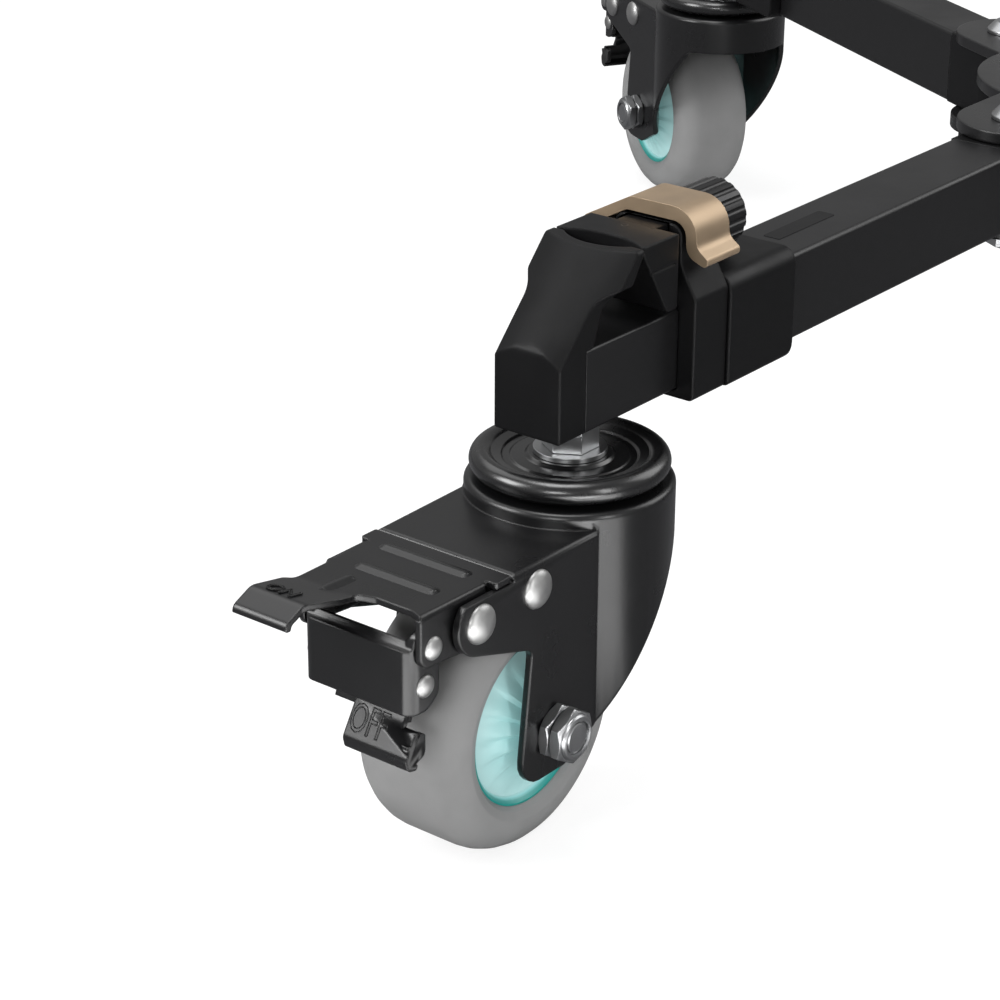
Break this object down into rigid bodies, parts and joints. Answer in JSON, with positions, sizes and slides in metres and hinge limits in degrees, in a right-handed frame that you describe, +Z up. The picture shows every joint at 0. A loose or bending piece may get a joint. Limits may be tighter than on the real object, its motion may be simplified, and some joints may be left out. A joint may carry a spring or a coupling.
{
  "type": "tripod dolly",
  "caption": "Folding tripod dolly: telescopic arms on a flat hub, each with a screw-driven foot vise, a flip lever and a braked swivel caster.",
  "frame": {"origin": "on the floor, on the axis of the hub", "axes": "+Z up; arm 1 points to -X, arm 2 to +60 degrees and arm 3 to -60 degrees from +X"},
  "size_m": [0.6437, 0.7318, 0.1623],
  "materials": {
    "tube_black": "black anodised, satin",
    "moulded_black": "moulded, fine grain",
    "knob_black": "moulded, satin",
    "lever_bronze": "bronze anodised, satin",
    "fork_black": "black coat, semi-gloss",
    "zinc_steel": "zinc plated",
    "rivet_steel": "bright",
    "tyre_grey": "matte grey",
    "wheel_teal": "moulded, semi-gloss",
    "hub_black": "black coat, satin"
  },
  "bodies": {
    "base": {"hub_body": "hub_black", "hub_cover": "hub_black", "pivot_bolts": "zinc_steel", "arm_knuckle_1": "moulded_black", "outer_tube_1": "tube_black", "tube_sleeve_1": "moulded_black", "clamp_collar_1": "moulded_black"},
    "arm_2": {"arm_knuckle_2": "moulded_black", "outer_tube_2": "tube_black", "tube_sleeve_2": "moulded_black", "clamp_collar_2": "moulded_black"},
    "arm_3": {"arm_knuckle_3": "moulded_black", "outer_tube_3": "tube_black", "tube_sleeve_3": "moulded_black", "clamp_collar_3": "moulded_black"},
    "foot_1": {"inner_tube_1": "tube_black", "foot_cap_1": "moulded_black", "caster_stem_1": "zinc_steel", "swivel_ring_1": "fork_black"},
    "lever_1": {"clamp_lever_1": "lever_bronze"},
    "jaw_1": {"foot_jaw_1": "moulded_black"},
    "knob_1": {"adjust_knob_1": "knob_black"},
    "caster_1": {"fork_1": "fork_black", "fork_rivets_1": "rivet_steel", "axle_bolt_1": "zinc_steel"},
    "wheel_1": {"tyre_1": "tyre_grey", "wheel_hub_1": "wheel_teal"},
    "pedal_1": {"brake_pedal_1": "fork_black", "release_bracket_1": "fork_black"},
    "off_1": {"off_pedal_1": "fork_black"},
    "foot_2": {"inner_tube_2": "tube_black", "foot_cap_2": "moulded_black", "caster_stem_2": "zinc_steel", "swivel_ring_2": "fork_black"},
    "lever_2": {"clamp_lever_2": "lever_bronze"},
    "jaw_2": {"foot_jaw_2": "moulded_black"},
    "knob_2": {"adjust_knob_2": "knob_black"},
    "caster_2": {"fork_2": "fork_black", "fork_rivets_2": "rivet_steel", "axle_bolt_2": "zinc_steel"},
    "wheel_2": {"tyre_2": "tyre_grey", "wheel_hub_2": "wheel_teal"},
    "pedal_2": {"brake_pedal_2": "fork_black", "release_bracket_2": "fork_black"},
    "off_2": {"off_pedal_2": "fork_black"},
    "foot_3": {"inner_tube_3": "tube_black", "foot_cap_3": "moulded_black", "caster_stem_3": "zinc_steel", "swivel_ring_3": "fork_black"},
    "lever_3": {"clamp_lever_3": "lever_bronze"},
    "jaw_3": {"foot_jaw_3": "moulded_black"},
    "knob_3": {"adjust_knob_3": "knob_black"},
    "caster_3": {"fork_3": "fork_black", "fork_rivets_3": "rivet_steel", "axle_bolt_3": "zinc_steel"},
    "wheel_3": {"tyre_3": "tyre_grey", "wheel_hub_3": "wheel_teal"},
    "pedal_3": {"brake_pedal_3": "fork_black", "release_bracket_3": "fork_black"},
    "off_3": {"off_pedal_3": "fork_black"}
  },
  "joints": [
    {"name": "fold_2", "type": "hinge", "parent": "base", "child": "arm_2", "pos_m": [0.033, 0.05716, 0.122], "axis": [0, 0, 1], "range_deg": [0, 120]},
    {"name": "fold_3", "type": "hinge", "parent": "base", "child": "arm_3", "pos_m": [0.033, -0.05716, 0.122], "axis": [0, 0, -1], "range_deg": [0, 120]},
    {"name": "foot_slide_1", "type": "slide", "parent": "base", "child": "foot_1", "axis": [-1, 0, 0], "range_m": [0, 0.06]},
    {"name": "lever_flip_1", "type": "hinge", "parent": "base", "child": "lever_1", "pos_m": [-0.26595, 0.0185, 0.15085], "axis": [-1, 0, 0], "range_deg": [0, 95]},
    {"name": "jaw_slide_1", "type": "slide", "parent": "base", "child": "jaw_1", "axis": [1, 0, 0], "range_m": [0, 0.004]},
    {"name": "knob_turn_1", "type": "hinge", "parent": "jaw_1", "child": "knob_1", "pos_m": [-0.248, 0, 0.151], "axis": [1, 0, 0], "range_deg": [0, 720]},
    {"name": "swivel_1", "type": "hinge", "parent": "foot_1", "child": "caster_1", "pos_m": [-0.307, 0, 0.0895], "axis": [0, 0, 1], "continuous": true},
    {"name": "wheel_turn_1", "type": "hinge", "parent": "caster_1", "child": "wheel_1", "pos_m": [-0.3426, 0, 0.038], "axis": [0, 1, 0], "continuous": true},
    {"name": "pedal_tip_1", "type": "hinge", "parent": "caster_1", "child": "pedal_1", "pos_m": [-0.3737, 0, 0.081], "axis": [0, -1, 0], "range_deg": [0, 9]},
    {"name": "off_tip_1", "type": "hinge", "parent": "pedal_1", "child": "off_1", "pos_m": [-0.3896, 0, 0.0684], "axis": [0, 1, 0], "range_deg": [0, 4.5]},
    {"name": "foot_slide_2", "type": "slide", "parent": "arm_2", "child": "foot_2", "axis": [0.5, 0.866, 0], "range_m": [0, 0.06]},
    {"name": "lever_flip_2", "type": "hinge", "parent": "arm_2", "child": "lever_2", "pos_m": [0.149, 0.22107, 0.15085], "axis": [0.5, 0.866, 0], "range_deg": [0, 95]},
    {"name": "jaw_slide_2", "type": "slide", "parent": "arm_2", "child": "jaw_2", "axis": [-0.5, -0.866, 0], "range_m": [0, 0.004]},
    {"name": "knob_turn_2", "type": "hinge", "parent": "jaw_2", "child": "knob_2", "pos_m": [0.124, 0.21477, 0.151], "axis": [-0.5, -0.866, 0], "range_deg": [0, 720]},
    {"name": "swivel_2", "type": "hinge", "parent": "foot_2", "child": "caster_2", "pos_m": [0.1535, 0.26587, 0.0895], "axis": [0, 0, 1], "continuous": true},
    {"name": "wheel_turn_2", "type": "hinge", "parent": "caster_2", "child": "wheel_2", "pos_m": [0.1713, 0.2967, 0.038], "axis": [0.866, -0.5, 0], "continuous": true},
    {"name": "pedal_tip_2", "type": "hinge", "parent": "caster_2", "child": "pedal_2", "pos_m": [0.18685, 0.32363, 0.081], "axis": [-0.866, 0.5, 0], "range_deg": [0, 9]},
    {"name": "off_tip_2", "type": "hinge", "parent": "pedal_2", "child": "off_2", "pos_m": [0.1948, 0.3374, 0.0684], "axis": [0.866, -0.5, 0], "range_deg": [0, 4.5]},
    {"name": "foot_slide_3", "type": "slide", "parent": "arm_3", "child": "foot_3", "axis": [0.5, -0.866, 0], "range_m": [0, 0.06]},
    {"name": "lever_flip_3", "type": "hinge", "parent": "arm_3", "child": "lever_3", "pos_m": [0.11695, -0.23957, 0.15085], "axis": [0.5, -0.866, 0], "range_deg": [0, 95]},
    {"name": "jaw_slide_3", "type": "slide", "parent": "arm_3", "child": "jaw_3", "axis": [-0.5, 0.866, 0], "range_m": [0, 0.004]},
    {"name": "knob_turn_3", "type": "hinge", "parent": "jaw_3", "child": "knob_3", "pos_m": [0.124, -0.21477, 0.151], "axis": [-0.5, 0.866, 0], "range_deg": [0, 720]},
    {"name": "swivel_3", "type": "hinge", "parent": "foot_3", "child": "caster_3", "pos_m": [0.1535, -0.26587, 0.0895], "axis": [0, 0, 1], "continuous": true},
    {"name": "wheel_turn_3", "type": "hinge", "parent": "caster_3", "child": "wheel_3", "pos_m": [0.1713, -0.2967, 0.038], "axis": [-0.866, -0.5, 0], "continuous": true},
    {"name": "pedal_tip_3", "type": "hinge", "parent": "caster_3", "child": "pedal_3", "pos_m": [0.18685, -0.32363, 0.081], "axis": [0.866, 0.5, 0], "range_deg": [0, 9]},
    {"name": "off_tip_3", "type": "hinge", "parent": "pedal_3", "child": "off_3", "pos_m": [0.1948, -0.3374, 0.0684], "axis": [-0.866, -0.5, 0], "range_deg": [0, 4.5]}
  ],
  "couplings": [
    {"joint": "knob_turn_1", "follows": "jaw_slide_1", "rad_per_m": 3141.6},
    {"joint": "off_tip_1", "follows": "pedal_tip_1", "ratio": 0.5},
    {"joint": "knob_turn_2", "follows": "jaw_slide_2", "rad_per_m": 3141.6},
    {"joint": "off_tip_2", "follows": "pedal_tip_2", "ratio": 0.5},
    {"joint": "knob_turn_3", "follows": "jaw_slide_3", "rad_per_m": 3141.6},
    {"joint": "off_tip_3", "follows": "pedal_tip_3", "ratio": 0.5}
  ]
}
